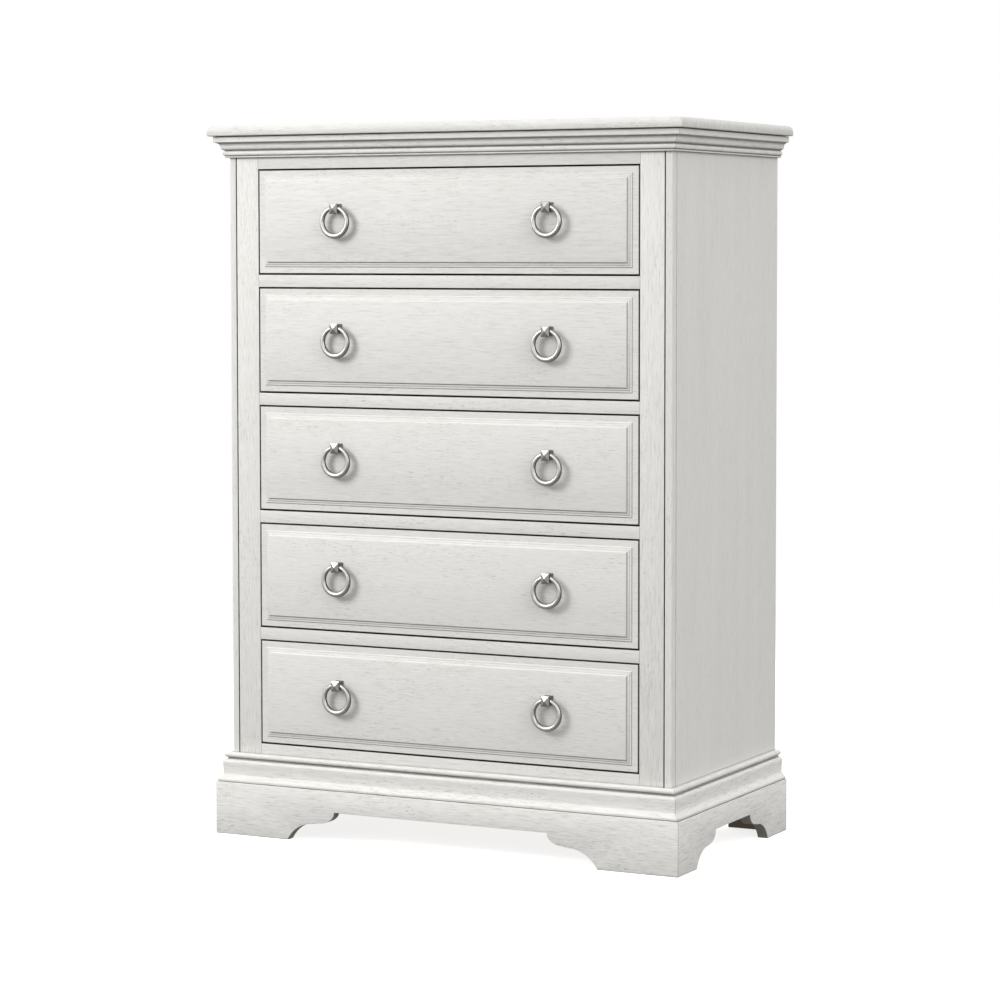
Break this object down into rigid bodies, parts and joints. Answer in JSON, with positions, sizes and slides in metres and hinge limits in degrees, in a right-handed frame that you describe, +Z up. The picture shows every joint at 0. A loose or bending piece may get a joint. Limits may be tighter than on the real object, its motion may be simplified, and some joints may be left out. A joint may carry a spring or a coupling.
{
  "type": "tall chest of drawers",
  "caption": "Tall chest of drawers in whitewashed wood, with inset raised-field drawers, ring pulls, a stepped cornice and a scrolled bracket base.",
  "frame": {"origin": "on the floor, under the middle of the overall box", "axes": "+Z up, the drawers open towards -Y, +X to the right for someone facing the front"},
  "size_m": [0.9612, 0.5136, 1.3235],
  "materials": {
    "whitewashed_wood": "off-white wire-brushed finish with faint grey-brown grain, darker glaze in the grooves",
    "drawer_wood": "clear-sealed pale hardwood",
    "back_board": "thin sealed plywood",
    "pewter": "aged pewter, lighter on worn edges"
  },
  "bodies": {
    "carcass": {"top_panel": "whitewashed_wood", "cornice_moulding": "whitewashed_wood", "base_moulding": "whitewashed_wood", "bracket_base": "whitewashed_wood", "side_panel_left": "whitewashed_wood", "side_panel_right": "whitewashed_wood", "stile_left": "whitewashed_wood", "stile_right": "whitewashed_wood", "bottom_web_frame": "whitewashed_wood", "web_frame_1": "whitewashed_wood", "web_frame_2": "whitewashed_wood", "web_frame_3": "whitewashed_wood", "web_frame_4": "whitewashed_wood", "top_frame": "whitewashed_wood", "back_panel": "back_board"},
    "drawer_1": {"drawer_1_front": "whitewashed_wood", "drawer_1_side_left": "drawer_wood", "drawer_1_side_right": "drawer_wood", "drawer_1_back": "drawer_wood", "drawer_1_bottom": "back_board", "pull_1_left_post": "pewter", "pull_1_right_post": "pewter"},
    "drawer_2": {"drawer_2_front": "whitewashed_wood", "drawer_2_side_left": "drawer_wood", "drawer_2_side_right": "drawer_wood", "drawer_2_back": "drawer_wood", "drawer_2_bottom": "back_board", "pull_2_left_post": "pewter", "pull_2_right_post": "pewter"},
    "drawer_3": {"drawer_3_front": "whitewashed_wood", "drawer_3_side_left": "drawer_wood", "drawer_3_side_right": "drawer_wood", "drawer_3_back": "drawer_wood", "drawer_3_bottom": "back_board", "pull_3_left_post": "pewter", "pull_3_right_post": "pewter"},
    "drawer_4": {"drawer_4_front": "whitewashed_wood", "drawer_4_side_left": "drawer_wood", "drawer_4_side_right": "drawer_wood", "drawer_4_back": "drawer_wood", "drawer_4_bottom": "back_board", "pull_4_left_post": "pewter", "pull_4_right_post": "pewter"},
    "drawer_5": {"drawer_5_front": "whitewashed_wood", "drawer_5_side_left": "drawer_wood", "drawer_5_side_right": "drawer_wood", "drawer_5_back": "drawer_wood", "drawer_5_bottom": "back_board", "pull_5_left_post": "pewter", "pull_5_right_post": "pewter"},
    "pull_1_left_ring": {"pull_1_left_ring": "pewter"},
    "pull_1_right_ring": {"pull_1_right_ring": "pewter"},
    "pull_2_left_ring": {"pull_2_left_ring": "pewter"},
    "pull_2_right_ring": {"pull_2_right_ring": "pewter"},
    "pull_3_left_ring": {"pull_3_left_ring": "pewter"},
    "pull_3_right_ring": {"pull_3_right_ring": "pewter"},
    "pull_4_left_ring": {"pull_4_left_ring": "pewter"},
    "pull_4_right_ring": {"pull_4_right_ring": "pewter"},
    "pull_5_left_ring": {"pull_5_left_ring": "pewter"},
    "pull_5_right_ring": {"pull_5_right_ring": "pewter"}
  },
  "joints": [
    {"name": "drawer_1_slide", "type": "slide", "parent": "carcass", "child": "drawer_1", "axis": [0, -1, 0], "range_m": [0, 0.34]},
    {"name": "drawer_2_slide", "type": "slide", "parent": "carcass", "child": "drawer_2", "axis": [0, -1, 0], "range_m": [0, 0.34]},
    {"name": "drawer_3_slide", "type": "slide", "parent": "carcass", "child": "drawer_3", "axis": [0, -1, 0], "range_m": [0, 0.34]},
    {"name": "drawer_4_slide", "type": "slide", "parent": "carcass", "child": "drawer_4", "axis": [0, -1, 0], "range_m": [0, 0.34]},
    {"name": "drawer_5_slide", "type": "slide", "parent": "carcass", "child": "drawer_5", "axis": [0, -1, 0], "range_m": [0, 0.34]},
    {"name": "pull_1_left_swing", "type": "hinge", "parent": "drawer_1", "child": "pull_1_left_ring", "pos_m": [-0.215, -0.2447, 1.1692], "axis": [-1, 0, 0], "range_deg": [-8, 188]},
    {"name": "pull_1_right_swing", "type": "hinge", "parent": "drawer_1", "child": "pull_1_right_ring", "pos_m": [0.215, -0.2447, 1.1692], "axis": [-1, 0, 0], "range_deg": [-8, 188]},
    {"name": "pull_2_left_swing", "type": "hinge", "parent": "drawer_2", "child": "pull_2_left_ring", "pos_m": [-0.215, -0.2447, 0.9502], "axis": [-1, 0, 0], "range_deg": [-8, 188]},
    {"name": "pull_2_right_swing", "type": "hinge", "parent": "drawer_2", "child": "pull_2_right_ring", "pos_m": [0.215, -0.2447, 0.9502], "axis": [-1, 0, 0], "range_deg": [-8, 188]},
    {"name": "pull_3_left_swing", "type": "hinge", "parent": "drawer_3", "child": "pull_3_left_ring", "pos_m": [-0.215, -0.2447, 0.7312], "axis": [-1, 0, 0], "range_deg": [-8, 188]},
    {"name": "pull_3_right_swing", "type": "hinge", "parent": "drawer_3", "child": "pull_3_right_ring", "pos_m": [0.215, -0.2447, 0.7312], "axis": [-1, 0, 0], "range_deg": [-8, 188]},
    {"name": "pull_4_left_swing", "type": "hinge", "parent": "drawer_4", "child": "pull_4_left_ring", "pos_m": [-0.215, -0.2447, 0.5122], "axis": [-1, 0, 0], "range_deg": [-8, 188]},
    {"name": "pull_4_right_swing", "type": "hinge", "parent": "drawer_4", "child": "pull_4_right_ring", "pos_m": [0.215, -0.2447, 0.5122], "axis": [-1, 0, 0], "range_deg": [-8, 188]},
    {"name": "pull_5_left_swing", "type": "hinge", "parent": "drawer_5", "child": "pull_5_left_ring", "pos_m": [-0.215, -0.2447, 0.2932], "axis": [-1, 0, 0], "range_deg": [-8, 188]},
    {"name": "pull_5_right_swing", "type": "hinge", "parent": "drawer_5", "child": "pull_5_right_ring", "pos_m": [0.215, -0.2447, 0.2932], "axis": [-1, 0, 0], "range_deg": [-8, 188]}
  ]
}
